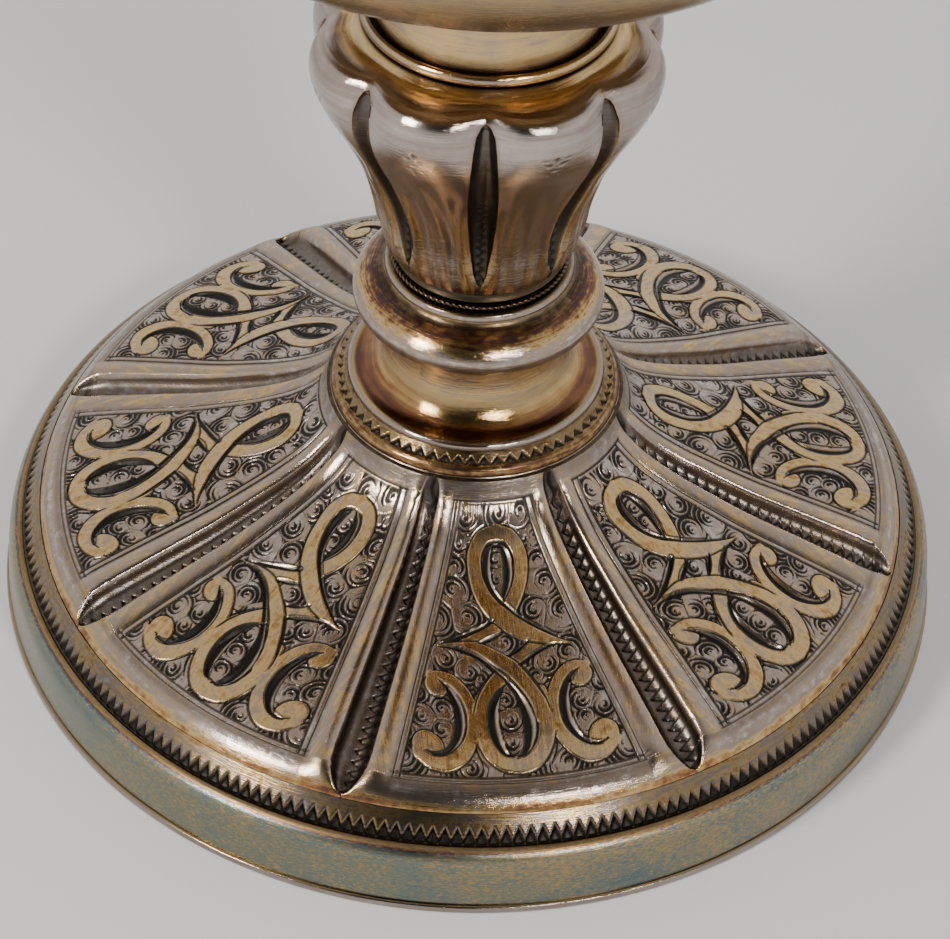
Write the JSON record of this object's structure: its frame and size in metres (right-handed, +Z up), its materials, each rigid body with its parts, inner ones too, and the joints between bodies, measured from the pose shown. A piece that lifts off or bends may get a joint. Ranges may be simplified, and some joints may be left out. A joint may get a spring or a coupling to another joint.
{
  "type": "communion chalice",
  "caption": "Footed metal cup with a fluted, panelled round foot, ringed stem, lobed knop and deep bowl, held together by a hidden tie rod.",
  "frame": {"origin": "on the floor under the middle of the foot", "axes": "+Z up the stem to the bowl; the middle of one foot panel faces -Y"},
  "size_m": [0.14, 0.14, 0.204],
  "materials": {
    "silver": "polished silver, warm and slightly tarnished",
    "engraved_silver": "engraved silver, parcel gilt, dark in the cuts",
    "patina": "tarnished silver, blue-green with ochre streaks",
    "gilt": "polished gilding, brown where it is worn",
    "rod_steel": "plain steel rod",
    "nut_brass": "dull turned brass"
  },
  "bodies": {
    "chalice": {"base_wire": "patina", "foot_band": "patina", "tooth_wire": "silver", "foot_shell": "engraved_silver", "crown_plate": "gilt", "inner_tooth_wire": "silver", "stem_collar": "gilt", "stem_ring": "silver", "roped_wire": "silver", "knop_foot": "silver", "knop": "silver", "knop_cap": "gilt", "neck_bead": "gilt", "neck": "gilt", "bowl": "silver", "bowl_boss": "gilt", "tie_rod": "rod_steel"},
    "washer": {"nut_washer": "nut_brass"},
    "nut": {"hand_nut": "nut_brass"}
  },
  "joints": [
    {"name": "washer_slide", "type": "slide", "parent": "chalice", "child": "washer", "axis": [0, 0, 1], "range_m": [-0.005, 0]},
    {"name": "nut_turn", "type": "hinge", "parent": "washer", "child": "nut", "pos_m": [0, 0, 0.031], "axis": [0, 0, 1], "range_deg": [-1800, 0]}
  ],
  "couplings": [
    {"joint": "washer_slide", "follows": "nut_turn", "m_per_rad": 0.000159}
  ]
}
